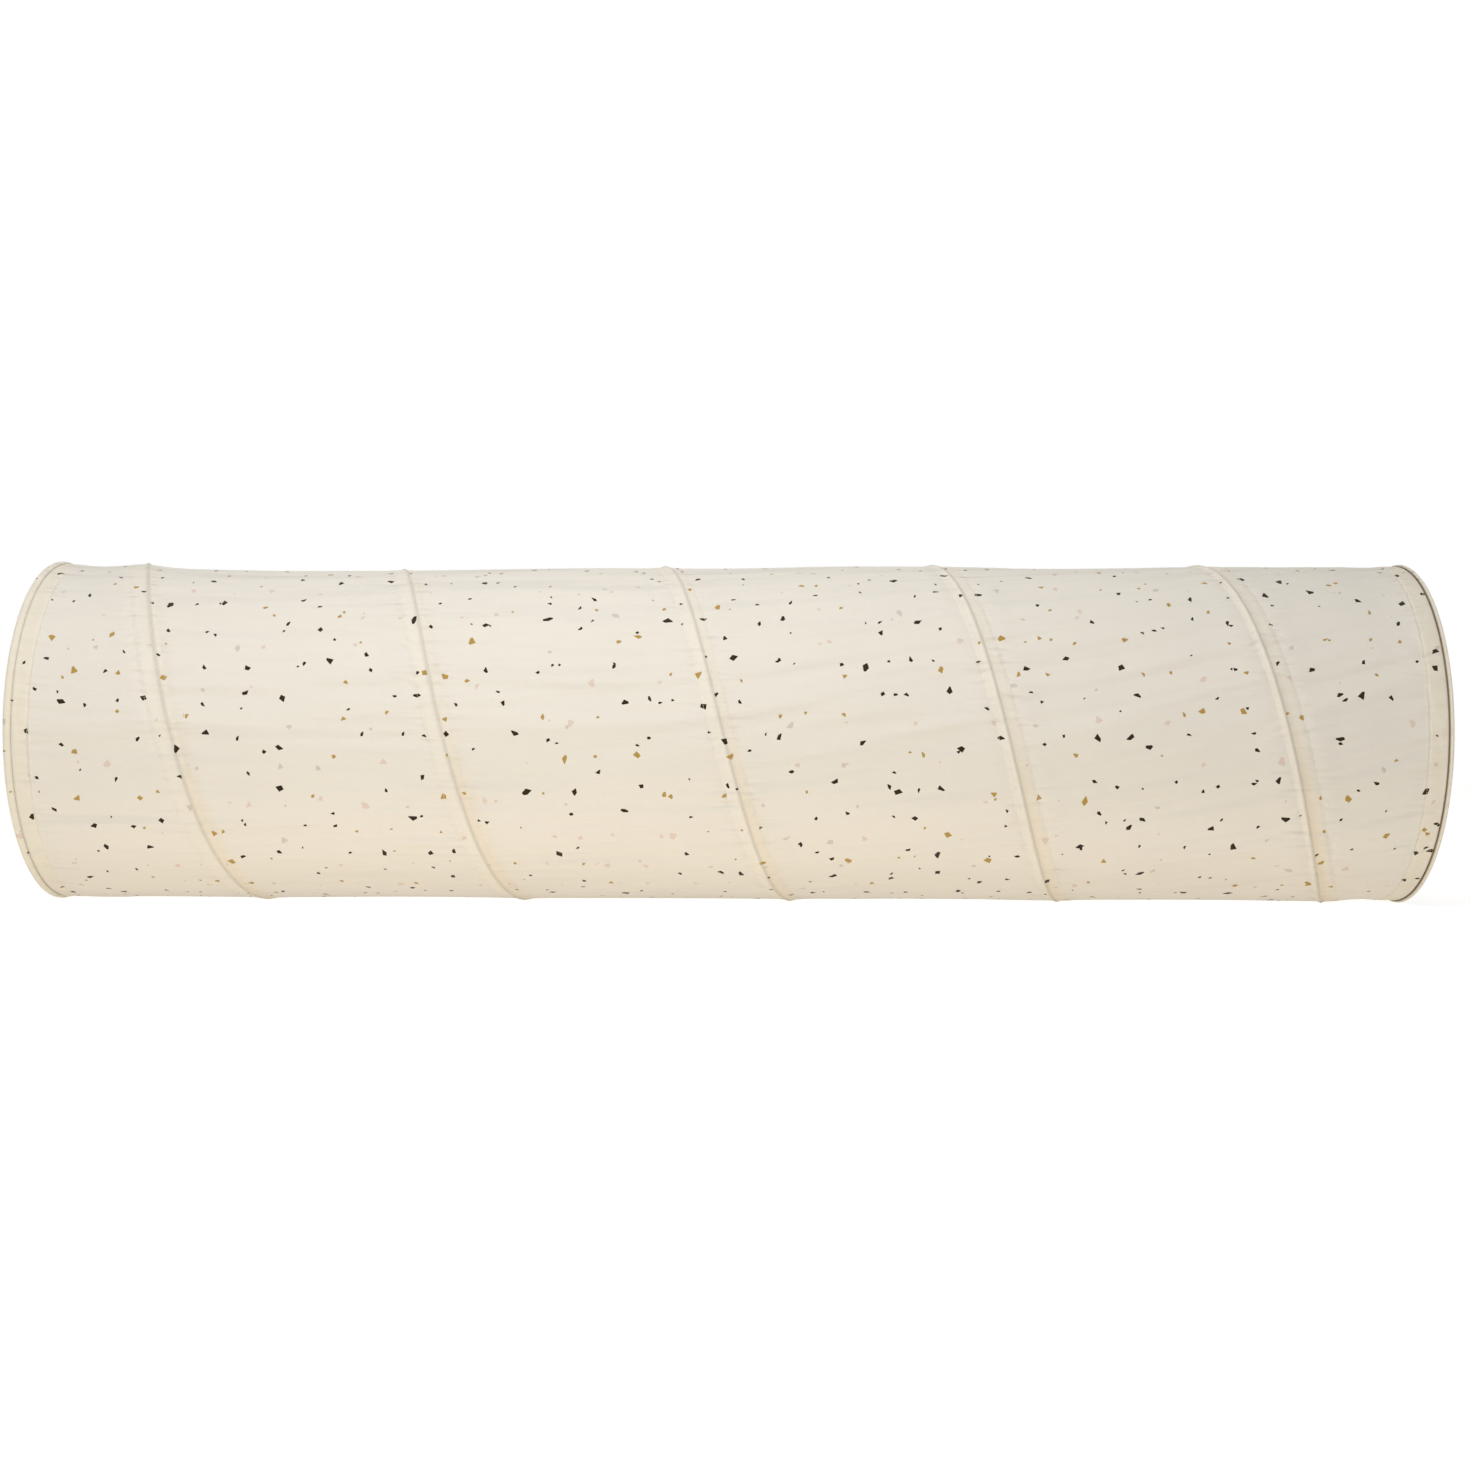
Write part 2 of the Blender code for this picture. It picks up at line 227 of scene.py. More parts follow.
def wireCourse(turn):              # place along X of the wire's middle line
    shares = winding["driftShares"]
    spot = min(max(turn - winding["driftStart"], 0), len(shares) - 1)
    number = min(int(spot), len(shares) - 2)
    drift = winding["pitch"] * (shares[number] + (shares[number + 1] - shares[number]) * (spot - number))
    lean = winding["leftLean"] + (winding["rightLean"] - winding["leftLean"]) * turn / len(shares)
    start = cadLow.x + winding["firstCrownInset"]
    return start + winding["pitch"] * turn + drift + lean * math.sin(fullTurn * turn)


def turnAt(place):                 # the turn whose wire is at a place along X
    low, high = winding["turnRange"]
    for _ in range(winding["halvings"]):
        middle = (low + high) / 2
        if wireCourse(middle) < place:
            low = middle
        else:
            high = middle
    return middle


wireStart = turnAt(cadLow.x + winding["wireEndInset"])
wireFinish = turnAt(cadHigh.x - winding["wireEndInset"])
wireTurns = wireFinish - wireStart
wireLength = wireTurns * math.hypot(circumference, winding["pitch"])


def wireShare(turn):               # 1 where the wire runs, fading to 0 past its ends
    past = max(wireStart - turn, turn - wireFinish) - winding["endHold"]
    return 1 - smoothStep(past, 0, winding["endFade"])


def casingMiddle(turn):
    share = min(max((turn - wireStart) / wireTurns, 0), 1)
    return wireCourse(turn) + winding["casingDrift"] * (2 * share - 1)


def nearestWire(x, angle):         # the turn of the wire's nearest pass, and the distance along X from it
    turn = angle / fullTurn
    turn += round((x - wireCourse(turn)) / winding["pitch"])
    return turn, x - wireCourse(turn)


def seamGap(x, angle):             # distance to the nearest row of stitches
    turn, _ = nearestWire(x, angle)
    gap = abs(abs(x - casingMiddle(turn)) - winding["seamOffset"])
    gap /= max(wireShare(turn), winding["leastShare"])
    return min(gap, abs(cadHigh.x - abs(x) - cloth["hemStitchInset"]))


def channelShare(x, turn):         # 1 between the casing's two rows of stitches
    return smoothStep(abs(x - casingMiddle(turn)), *cloth["channelEdge"])


def foldHeight(x, angle):
    slant = slack["slant"] + slack["slantGrowth"] * smoothStep(x, *slack["slantZone"])
    turned = slant * x / cloth["printRadius"]
    rise = 0
    for height, along, pace, start, slants, growth in slack["waves"]:
        uneven = roundNoise(x * along + start, pace, angle + turned * slants)
        rise += height * uneven * (1 + growth * smoothStep(x, *slack["growthZone"]))
    for (x1, degrees1), (x2, degrees2), width, height in folds:
        if not x1 - slack["foldOverrun"] < x < x2 + slack["foldOverrun"]:
            continue
        share = (x - x1) / (x2 - x1)
        off = degreesPast(angle, degrees1 + (degrees2 - degrees1) * share)
        off = math.radians(off) * cloth["printRadius"]
        if abs(off) < slack["foldReach"] * width:
            lasting = smoothStep(min(share, 1 - share), *slack["foldFade"])
            rise += slack["foldStrength"] * height * bell(off, width) * lasting
    return rise


def hullRadius(x, angle):          # the tunnel's form without its ridge, seams and folds
    radius = through(spans, x)
    for place, degrees, along, aside, height in swells:
        radius += height * bell(x - place, along) * bell(degreesPast(angle, degrees), aside)
    return radius


def crest(gap):                    # the cloth's rise over the wire
    return cloth["ridge"] * math.exp(-abs(gap / cloth["ridgeWidth"]) ** cloth["ridgePower"])


def clothRadius(x, angle):
    turn, gap = nearestWire(x, angle)
    held = wireShare(turn)
    inset = cadHigh.x - abs(x)
    hem = smoothStep(inset, *cloth["hemEdge"])
    radius = hullRadius(x, angle)
    radius += held * (cloth["tent"] * (math.exp(-abs(gap) / cloth["tentWidth"]) - 1) + crest(gap))
    radius -= cloth["sag"] * (0.5 - 0.5 * math.cos(fullTurn * gap / winding["pitch"]))
    calm = bell(gap, cloth["ridgeClear"]) * held
    radius += foldHeight(x, angle) * (1 - calm) * (1 - cloth["hemCalm"] * hem)
    radius += cloth["channelRise"] * held * channelShare(x, turn) * (1 - hem)
    radius += cloth["hemRise"] * hem
    radius += cloth["hemLip"] * bell(inset - cloth["hemLipInset"], cloth["hemLipWidth"])
    near = seamGap(x, angle)
    radius -= cloth["grooveDepth"] * bell(near, cloth["grooveWidth"])
    paceRound, paceAlong = cloth["puckerPace"]
    uneven = noise.noise(Vector((paceRound * math.cos(angle), paceRound * math.sin(angle), x * paceAlong)))
    ripple = math.sin(cloth["puckers"] * angle + cloth["puckerDrift"] * uneven)
    return radius + cloth["puckerHeight"] * ripple * math.exp(-near / cloth["puckerReach"])


def middleHeight(x):
    inset = cadHigh.x - abs(x)
    coilHeight = through(spans, x) + cloth["middleLift"]
    return coilHeight + (cloth["rimHeight"] - coilHeight) * smoothStep(inset, *cloth["rimRise"])


def ringPoint(x, angle, radius, height):
    point = Vector((x, -radius * math.sin(angle), height + radius * math.cos(angle)))
    point.z = max(point.z, 0)      # the lowest cloth lies flat on the floor
    return point


def clothPoint(x, angle, out=0):
    return ringPoint(x, angle, clothRadius(x, angle) + out, middleHeight(x))


# Meshes

def faceAway(bm, centreAt):        # turns a sheet's faces away from the point that centreAt gives for each
    bmesh.ops.recalc_face_normals(bm, faces=bm.faces)
    facing = 0
    for face in bm.faces:
        middle = face.calc_center_median()
        facing += face.normal.dot(middle - centreAt(middle))
    if facing < 0:
        bmesh.ops.reverse_faces(bm, faces=bm.faces)


def middleLine(point):
    return Vector((point.x, 0, cloth["printRadius"]))


def sheetMesh(columns, rows, place, printAt, **shades):
    # A sheet whose corner (column, row) lies where place says, with its print, seams and shades laid out
    bm = bmesh.new()
    bmesh.ops.create_grid(bm, x_segments=columns, y_segments=rows, size=1)
    printLayer = bm.loops.layers.uv.new("print")
    seamLayer = bm.loops.layers.uv.new("seam")
    plain = {"doubled": 1, "ridged": 0, "warmed": 0, "creased": 0}
    layers = {name: bm.verts.layers.float.new(name) for name in plain}
    cells = {}
    for vert in bm.verts:
        cells[vert] = round((vert.co.x + 1) / 2 * columns), round((vert.co.y + 1) / 2 * rows)
    seams = {}
    for vert, (column, row) in cells.items():
        vert.co, x, angle = place(column, row)
        seams[vert] = seamGap(x, angle), angle
        for name, layer in layers.items():
            vert[layer] = shades[name](x, angle) if name in shades else plain[name]
    for face in bm.faces:
        first = min(cells[vert][0] for vert in face.verts)
        start = seams[face.verts[0]][1]
        for loop in face.loops:
            loop[printLayer].uv = printAt(*cells[loop.vert], first)
            gap, angle = seams[loop.vert]
            turned = start + (angle - start + math.pi) % fullTurn - math.pi
            loop[seamLayer].uv = gap, turned * cloth["printRadius"]
    bmesh.ops.remove_doubles(bm, verts=bm.verts, dist=weld)
    return bm


def addPiece(name, bm, materials, wall=0):
    mesh = bpy.data.meshes.new(name)
    bm.to_mesh(mesh)
    bm.free()
    for material in materials:
        mesh.materials.append(material)
    piece = bpy.data.objects.new(name, mesh)
    bpy.context.scene.collection.objects.link(piece)
    if wall:
        layer = piece.modifiers.new("wall", "SOLIDIFY")
        layer.thickness = wall
        layer.offset = -1
        layer.material_offset = len(materials) - 1
        bpy.context.view_layer.update()
        made = bpy.data.meshes.new_from_object(piece.evaluated_get(bpy.context.evaluated_depsgraph_get()))
        piece.modifiers.clear()
        piece.data = made
        made.name = name
        bpy.data.meshes.remove(mesh)
    piece.data.shade_smooth()
    piece.data.set_sharp_from_angle(angle=sharpEdge)
    return piece


def tubeMesh(columns, sides, centreAt, radiusAt):
    # A round bar along a line, with shut ends
    bm = bmesh.new()
    bmesh.ops.create_grid(bm, x_segments=columns, y_segments=sides, size=1)
    look = 0.25 / columns
    for vert in bm.verts:
        share = (vert.co.x + 1) / 2
        angle = (vert.co.y + 1) / 2 * fullTurn
        centre = centreAt(share)
        heading = (centreAt(share + look) - centreAt(share - look)).normalized()
        out = (centre - middleLine(centre)).normalized()
        side = heading.cross(out).normalized()
        out = side.cross(heading)
        vert.co = centre + (out * math.cos(angle) + side * math.sin(angle)) * radiusAt(share)
    bmesh.ops.remove_doubles(bm, verts=bm.verts, dist=weld)
    bmesh.ops.holes_fill(bm, edges=[edge for edge in bm.edges if edge.is_boundary], sides=0)
    bmesh.ops.recalc_face_normals(bm, faces=bm.faces)
    return bm


def squashed(piece, side="left"):  # hangs the piece from the body at one end and gives it a mesh of its own
    travel = collapse["range_m"][1]
    keep = 1 - travel / (2 * cloth["hemSeam"])
    anchor = signs[side] * cloth["hemSeam"]
    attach(piece, f"{side}_end")
    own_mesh(piece)


# Materials

def srgb(red, green, blue):
    return tuple((value / 255 / 12.92) if value < 11 else ((value / 255 + 0.055) / 1.055) ** 2.4
                 for value in (red, green, blue)) + (1,)


class Flow:                        # a value on its way through the nodes
    def __init__(self, wiring, socket):
        self.wiring = wiring
        self.socket = socket

    def other(self, output):
        return Flow(self.wiring, self.socket.node.outputs[output])

    def maths(self, operation, *values):
        return self.wiring.node("ShaderNodeMath", {"operation": operation}, dict(enumerate(values)))

    def __add__(self, value):
        return self.maths("ADD", self, value)

    def __radd__(self, value):
        return self.maths("ADD", value, self)

    def __sub__(self, value):
        return self.maths("SUBTRACT", self, value)

    def __rsub__(self, value):
        return self.maths("SUBTRACT", value, self)

    def __mul__(self, value):
        return self.maths("MULTIPLY", self, value)

    def __rmul__(self, value):
        return self.maths("MULTIPLY", value, self)

    def __neg__(self):
        return self.maths("MULTIPLY", self, -1)

    def largest(self, value):
        return self.maths("MAXIMUM", self, value)

    def wave(self):
        return self.maths("SINE", self)

    def fade(self, low, high):     # 0 at low and 1 at high, eased
        return self.wiring.node("ShaderNodeMapRange", {"interpolation_type": "SMOOTHSTEP"},
                                {"Value": self, "From Min": low, "From Max": high})

    def parts(self):
        split = self.wiring.node("ShaderNodeSeparateXYZ", {}, {"Vector": self})
        return split, split.other("Y"), split.other("Z")


class Wiring:                      # the nodes of a material or of the world
    def __init__(self, tree):
        self.tree = tree

    def node(self, kind, settings, sockets, output=0):
        made = self.tree.nodes.new(kind)
        for setting, value in settings.items():
            if setting == "stops":
                self.setStops(made.color_ramp, value)
            else:
                setattr(made, setting, value)
        for socket, value in sockets.items():
            if isinstance(value, Flow):
                self.tree.links.new(value.socket, made.inputs[socket])
            else:
                made.inputs[socket].default_value = value
        return Flow(self, made.outputs[output])

    def setStops(self, ramp, stops):
        ramp.interpolation = "CONSTANT"
        while len(ramp.elements) < len(stops):
            ramp.elements.new(1)
        for element, (place, colour) in zip(ramp.elements, stops):
            element.position = place
            element.color = colour

    def glow(self, kind, colour, strength):
        return self.node(kind, {}, {"Color": colour, "Strength": strength})

    def toCamera(self, hidden, seen, target):
        # The camera, and rays off metal, see one shader, and all other rays meet the other
        rays = self.node("ShaderNodeLightPath", {}, {}, "Is Camera Ray")
        rays = rays.largest(rays.other("Is Glossy Ray")).largest(rays.other("Is Transmission Ray"))
        both = self.node("ShaderNodeMixShader", {}, {0: rays, 1: hidden, 2: seen})
        self.tree.links.new(both.socket, self.tree.nodes[target].inputs["Surface"])


class Finish(Wiring):              # one material being made
    def __init__(self, name, **constants):
        self.material = bpy.data.materials.new(name)
        self.material.use_nodes = True
        super().__init__(self.material.node_tree)
        self.shader = self.tree.nodes["Principled BSDF"]
        for socket, value in constants.items():
            self.shader.inputs[socket.replace("_", " ")].default_value = value

    def layout(self, name):        # a UV map, in metres
        return self.node("ShaderNodeUVMap", {"uv_map": name}, {})

    def objectSpot(self):
        return self.node("ShaderNodeTexCoord", {}, {}, "Object")

    def painted(self, name):       # a value painted on the mesh
        return self.node("ShaderNodeAttribute", {"attribute_name": name}, {}, "Fac")

    def noiseAt(self, spot, scale, detail=2, roughness=0.5):
        return self.node("ShaderNodeTexNoise", {},
                         {"Vector": spot, "Scale": scale, "Detail": detail, "Roughness": roughness})

    def stretched(self, spot, x, y, turned=0):
        return self.node("ShaderNodeMapping", {},
                         {"Vector": spot, "Scale": (x, y, 1), "Rotation": (0, 0, turned)})

    def mix(self, share, first, second):
        return self.node("ShaderNodeMix", {"data_type": "RGBA"}, {"Factor": share, 6: first, 7: second}, 2)

    def darken(self, colour, share):
        grey = self.node("ShaderNodeCombineColor", {}, {"Red": share, "Green": share, "Blue": share})
        return self.node("ShaderNodeMix", {"data_type": "RGBA", "blend_type": "MULTIPLY"},
                         {"Factor": 1, 6: colour, 7: grey}, 2)

    def bump(self, height, distance, strength=1, under=None):
        sockets = {"Height": height, "Distance": distance, "Strength": strength}
        if under:
            sockets["Normal"] = under
        return self.node("ShaderNodeBump", {}, sockets)

    def wear(self, **flows):       # what changes over the surface
        for socket, flow in flows.items():
            self.tree.links.new(flow.socket, self.shader.inputs[socket.replace("_", " ")])
        return self.material


cotton = {
    "base": srgb(238, 231, 219),
    "doubled": srgb(241, 232, 214),
    # colour of the painted warm shade beside the ridge
    "warmed": srgb(238, 223, 198),
    # colour of the painted shadow in the rims' creases
    "creased": srgb(112, 86, 62),
    "reverse": srgb(234, 227, 213),
    "reverseInk": 0.16,            # share of the print that shows on the cloth's back
    # how strongly the painted shade and painted light beside the ridge darken and lighten the cloth
    "ridgeShade": 0.15,
    "inks": (srgb(45, 32, 9), srgb(184, 149, 74), srgb(229, 209, 194), srgb(214, 205, 193)),
    "inkShares": (0.0, 0.54, 0.75, 0.90),
    "chips": (
        {"spacing": 0.052, "size": 0.0064, "shift": 0.0},
        {"spacing": 0.050, "size": 0.0040, "shift": 0.317},
    ),
    "chipSizes": (0.55, 0.6),      # least share of a layer's size, and what chance adds
    # Lean of each of a chip's four cuts, its least depth and what chance adds
    "chipCuts": ((1.5, 0.35, 0.45), (1.6, 0.3, 0.5), (1.4, 0.35, 0.35), (1, 0.3, 0.3)),
    "chipReach": 0.92,             # of its size, past which no corner goes
    "chipEdge": 0.00012,
    "threadPitch": 0.0005,
    "threadPace": (30, 1400),      # how fast the thread changes along it and across it
    "threadDepth": 0.00006,
    "mottlePace": 9,
}

# Relief too fine for the mesh: crumples, shallow folds, pulls at the seams and ripples beside the stitches
relief = {
    "depth": 0.0012,
    "crumplePace": (16, 55),       # along the tunnel and round it
    "crumpleTurn": 0.12,
    "foldPace": (3.2, 30),
    "foldStrength": 8,
    "foldSwing": 0.14,             # how the folds curve up to the right of swingStart
    "swingStart": -0.3,
    "pullPace": (14, 90),
    "pullStrength": 3,
    "pullReach": (0.045, 0.002),   # distances from a seam at which pulls start and are full
    "ripples": 104,                # a turn
    "rippleDrift": 14,
    "driftPace": 16,
    "rippleStrength": 0.6,
    "rippleReach": 0.016,
    "patchPace": 22,
    "patchEdge": (0.35, 0.65),
}


def chipMask(finish, spot, layer):
    # One flat-sided chip in each cell: a four-sided cut with its own size, slants and turn
    shift = layer["shift"]
    shifted = finish.node("ShaderNodeMapping", {}, {"Vector": spot, "Location": (shift, shift, 0)})
    middle = finish.node("ShaderNodeTexVoronoi", {"voronoi_dimensions": "2D"},
                         {"Vector": shifted, "Scale": 1 / layer["spacing"], "Randomness": 0.95}, "Position")
    pick = middle.other("Color").parts()
    chance = finish.node("ShaderNodeTexWhiteNoise", {"noise_dimensions": "3D"},
                         {"Vector": middle}, "Color").parts()
    local = finish.node("ShaderNodeVectorMath", {"operation": "SUBTRACT"}, {0: shifted, 1: middle})
    turned = finish.node("ShaderNodeVectorRotate", {"rotation_type": "Z_AXIS"},
                         {"Vector": local, "Angle": pick[0] * fullTurn})
    x, y, _ = turned.parts()
    least, more = cotton["chipSizes"]
    size = layer["size"] * (least + more * chance[0])
    edge = finish.node("ShaderNodeVectorMath", {"operation": "LENGTH"}, {0: turned}, "Value")
    edge = edge - size * cotton["chipReach"]
    draws = ((x, y, pick[1], chance[1]), (-x, y, chance[2], pick[2]),
             (y, x, chance[1], chance[2]), (-y, x, pick[2], pick[1]))
    for (out, across, leaning, deepening), (lean, depth, spread) in zip(draws, cotton["chipCuts"]):
        cut = out + across * ((leaning - 0.5) * lean) - size * (depth + spread * deepening)
        edge = edge.largest(cut)
    return edge.fade(cotton["chipEdge"], -cotton["chipEdge"]), pick[1]


def clothRelief(finish, spot, threads):
    u, v, _ = spot.parts()
    gap, along, _ = finish.layout("seam").parts()
    threadWaves = fullTurn / cotton["threadPitch"]
    weave = (u * threadWaves).wave() * (v * threadWaves).wave()
    near = gap.fade(relief["rippleReach"], 0)
    patchy = finish.noiseAt(spot, relief["patchPace"], 1).fade(*relief["patchEdge"])
    drift = relief["rippleDrift"] * finish.noiseAt(spot, relief["driftPace"], 1)
    ripples = (along * (relief["ripples"] / cloth["printRadius"]) + drift).wave() * near * near * patchy
    crumpled = finish.stretched(spot, *relief["crumplePace"], relief["crumpleTurn"])
    swing = (u - relief["swingStart"]).largest(0)
    paceAlong, paceRound = relief["foldPace"]
    tilted = finish.node("ShaderNodeCombineXYZ", {}, {
        "X": u * paceAlong, "Y": (v + relief["foldSwing"] * swing * swing) * paceRound})
    pulled = finish.stretched(spot, *relief["pullPace"])
    pulls = finish.noiseAt(pulled, 1, 1) * gap.fade(*relief["pullReach"])
    drawn = finish.noiseAt(crumpled, 1, 3, 0.55) + relief["foldStrength"] * finish.noiseAt(tilted, 1, 1)
    drawn += relief["pullStrength"] * pulls
    normal = finish.bump(drawn + relief["rippleStrength"] * ripples, relief["depth"])
    return finish.bump(weave + threads, cotton["threadDepth"], 0.5, normal)


def printedCloth(name, base, inkStrength=1.0):
    finish = Finish(name, Roughness=0.86, Sheen_Weight=0.12, Sheen_Roughness=0.5, Specular_IOR_Level=0.25)
    spot = finish.layout("print")
    mottle = finish.noiseAt(spot, cotton["mottlePace"], 3)
    paceAlong, paceAcross = cotton["threadPace"]
    threads = (finish.noiseAt(finish.stretched(spot, paceAlong, paceAcross), 1, 1)
               + finish.noiseAt(finish.stretched(spot, paceAcross, paceAlong), 1, 1))
    colour = finish.mix(finish.painted("doubled"), base, cotton["doubled"])
    # painted warm shade beside the ridge, strongest low on the tunnel and towards the right
    colour = finish.mix(finish.painted("warmed"), colour, cotton["warmed"])
    colour = finish.darken(colour, 0.955 + 0.03 * mottle + 0.03 * threads)
    # painted shade along the ridge, and painted light where the painted value is below zero
    colour = finish.darken(colour, 1 - cotton["ridgeShade"] * finish.painted("ridged"))
    for layer in cotton["chips"]:
        mask, chance = chipMask(finish, spot, layer)
        stops = list(zip(cotton["inkShares"], cotton["inks"]))
        ink = finish.node("ShaderNodeValToRGB", {"stops": stops}, {"Fac": chance})
        colour = finish.mix(mask * inkStrength, colour, ink)
    # painted shadow in the rims' creases
    colour = finish.mix(finish.painted("creased"), colour, cotton["creased"])
    return finish.wear(Base_Color=colour, Roughness=0.8 + 0.1 * mottle,
                       Normal=clothRelief(finish, spot, threads))


def plainTape(name, colour, pitch):
    # A narrow woven tape, with a herringbone in its weave
    finish = Finish(name, Roughness=0.85, Sheen_Weight=0.15, Specular_IOR_Level=0.25)
    spot = finish.layout("print")
    u, v, _ = spot.parts()
    bands = (v * (fullTurn / (pitch * 12))).wave().fade(-0.2, 0.2) * 2 - 1
    twill = ((u + v * bands) * (fullTurn / pitch)).wave()
    mottle = finish.noiseAt(spot, 40, 3)
    tint = finish.darken(finish.mix(mottle, colour, cotton["doubled"]), 0.96 + 0.03 * twill)
    return finish.wear(Base_Color=tint, Roughness=0.82 + 0.1 * mottle,
                       Normal=finish.bump(twill + mottle, 0.00012, 0.6))


def sewingThread(name, colour):
    finish = Finish(name, Roughness=0.6, Sheen_Weight=0.25, Specular_IOR_Level=0.35)
    spot = finish.objectSpot()
    mottle = finish.noiseAt(spot, 900, 2)
    shade = finish.noiseAt(spot, 60, 1)
    tint = finish.darken(finish.mix(mottle, colour, cotton["doubled"]), 0.9 + 0.12 * shade)
    return finish.wear(Base_Color=tint, Roughness=0.5 + 0.25 * mottle,
                       Normal=finish.bump(mottle, 0.0001, 0.5))


def drawnSteel(name, shade, roughness):
    finish = Finish(name, Metallic=1.0, Roughness=roughness)
    spot = finish.objectSpot()
    scale = finish.noiseAt(spot, 35, 3)
    scratch = finish.noiseAt(spot, 1400, 2)
    tint = finish.darken(finish.mix(scale, shade, srgb(150, 142, 132)), 0.82 + 0.25 * scratch)
    return finish.wear(Base_Color=tint, Roughness=roughness + 0.2 * scale,
                       Normal=finish.bump(scratch, 0.00003, 0.5))


def dippedPlastic(name):
    finish = Finish(name, Roughness=0.5, Specular_IOR_Level=0.4)
    spot = finish.objectSpot()
    grain = finish.noiseAt(spot, 700, 3)
    tint = finish.mix(grain, srgb(26, 26, 27), srgb(44, 43, 43))
    return finish.wear(Base_Color=tint, Roughness=0.4 + 0.25 * grain,
                       Normal=finish.bump(grain, 0.00005, 0.5))


printed = printedCloth("printed_cotton", cotton["base"])
reverse = printedCloth("cotton_reverse", cotton["reverse"], cotton["reverseInk"])
tape = plainTape("casing_tape", srgb(233, 226, 212), 0.0011)
thread = sewingThread("sewing_thread", srgb(240, 233, 219))
steel = drawnSteel("spring_steel", srgb(176, 176, 178), 0.3)
crimp = drawnSteel("crimped_steel", srgb(190, 190, 192), 0.25)
plastic = dippedPlastic("dipped_plastic")
print("materials made")

# The barrel: each column of its grid runs from one pass of the wire to the next at one angle
barrel = {
    "columnsPerTurn": 216,
    "spareColumns": 2,
    "ridgeSteps": (0, 0.0007, 0.0014, 0.0021, 0.0029, 0.0041),
    "flankRows": 2,
    "seamStep": 0.0015,
    "spanRows": 20,
    "lipInsets": (0.0365, 0.0342, 0.0332, 0.0327, 0.0322, 0.0317),
    "cutZone": 0.02,               # the length at each end in which rows are added
    "trueZone": 0.006,             # and the one in which they are set back on the cloth's form
}

# How the wire marks the cloth's colour: the channel's doubled cloth, a painted warm shade, and a painted
# shade line with painted light beside the ridge. Distances are along X from the wire
marks = {
    "channelTint": 0.35,
    "warmStart": (-0.001, 0.003),
    "warmEnd": (0.022, 0.006),
    "warmShare": 0.5,
    "warmGrowth": 0.25,            # to the right
    "growthZone": (0.3, 0.6),
    "warmOnTop": 0.25,             # share of the warm band that shows on top of the tunnel
    "topZone": (0.6, 0.85),
    "shadeLine": (1.2, 0.0009, 0.0022),     # painted shade line: strength, distance and width
    # painted light: a line on the crest's other side, and over the channel on that side
    "highlightLine": (0.05, -0.0036, 0.0024),
    "highlightChannel": 0.09,
    "highlightEdge": (0, -0.003),
}


def barrelRows(turn):
    here, there = wireCourse(turn), wireCourse(turn + 1)
    seamA = casingMiddle(turn) + winding["seamOffset"]
    seamB = casingMiddle(turn + 1) - winding["seamOffset"]
    step = barrel["seamStep"]
    ridge = barrel["ridgeSteps"]

    def between(low, high, count):
        return [low + (high - low) * number / (count + 1) for number in range(1, count + 1)]

    return ([here + off for off in ridge] + between(here + ridge[-1], seamA - step, barrel["flankRows"])
            + [seamA - step, seamA, seamA + step] + between(seamA + step, seamB - step, barrel["spanRows"])
            + [seamB - step, seamB, seamB + step]
            + between(seamB + step, there - ridge[-1], barrel["flankRows"])
            + [there - off for off in reversed(ridge)])


def inChannel(x, angle):
    turn, _ = nearestWire(x, angle)
    return marks["channelTint"] * channelShare(x, turn) * wireShare(turn)


def warmShadeBesideRidge(x, angle):          # painted warm shade on the ridge's right, faintest on top of the tunnel
    turn, gap = nearestWire(x, angle)
    share = smoothStep(gap, *marks["warmStart"]) * smoothStep(gap, *marks["warmEnd"]) * wireShare(turn)
    share *= marks["warmShare"] + marks["warmGrowth"] * smoothStep(x, *marks["growthZone"])
    onTop = marks["warmOnTop"]
    return share * (onTop + (1 - onTop) * smoothStep(math.sin(angle / 2), *marks["topZone"]))


def paintedRidgeShading(x, angle):             # painted shade: a dark line beside the crest, with painted light on its other side and over the channel there
    turn, gap = nearestWire(x, angle)
    dark, darkAt, darkWidth = marks["shadeLine"]
    highlight, highlightAt, highlightWidth = marks["highlightLine"]
    share = dark * bell(gap - darkAt, darkWidth) - highlight * bell(gap - highlightAt, highlightWidth)
    share -= marks["highlightChannel"] * smoothStep(gap, *marks["highlightEdge"]) * channelShare(x, turn)
    return share * wireShare(turn)


